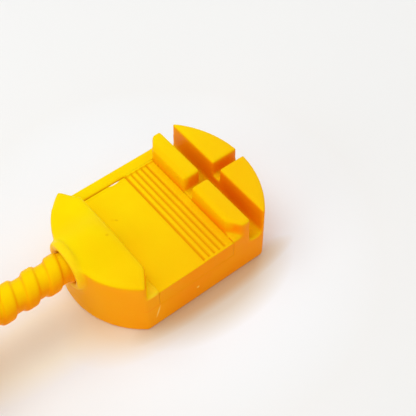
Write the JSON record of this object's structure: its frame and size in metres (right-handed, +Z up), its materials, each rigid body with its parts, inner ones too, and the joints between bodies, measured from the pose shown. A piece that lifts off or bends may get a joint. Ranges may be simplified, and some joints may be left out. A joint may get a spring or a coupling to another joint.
{
  "type": "watch link remover",
  "caption": "Hand tool that pushes pins out of a watch bracelet: moulded frame with strap seat, strap slot and blocks, and a coarse screw that drives a thin steel pin.",
  "frame": {"origin": "centre of the base on its underside, midway along the straight sides", "axes": "+X along the screw towards the blocks and the front wall, +Y to the far side of the strap seat, +Z up"},
  "size_m": [0.1009, 0.04, 0.0277],
  "materials": {
    "frame_plastic": "satin",
    "cover_plastic": "satin",
    "screw_plastic": "satin",
    "steel": "satin",
    "brass": "satin"
  },
  "bodies": {
    "frame": {"frame": "frame_plastic", "spare_pin_1": "steel", "spare_pin_2": "steel", "spare_pin_3": "steel"},
    "slide_cover": {"slide_cover": "cover_plastic"},
    "push_head": {"pin_holder": "brass", "push_pin": "steel"},
    "screw": {"spindle": "screw_plastic", "knob": "screw_plastic", "knob_cap": "screw_plastic", "knob_screw": "steel"}
  },
  "joints": [
    {"name": "pin_feed", "type": "slide", "parent": "frame", "child": "push_head", "axis": [1, 0, 0], "range_m": [0, 0.0075]},
    {"name": "screw_turn", "type": "hinge", "parent": "push_head", "child": "screw", "pos_m": [-0.0264, 0, 0.0172], "axis": [1, 0, 0], "range_deg": [-407, 0]},
    {"name": "cover_slide", "type": "slide", "parent": "frame", "child": "slide_cover", "axis": [0, -1, 0], "range_m": [0, 0.032]}
  ],
  "couplings": [
    {"joint": "screw_turn", "follows": "pin_feed", "rad_per_m": -944.84}
  ]
}
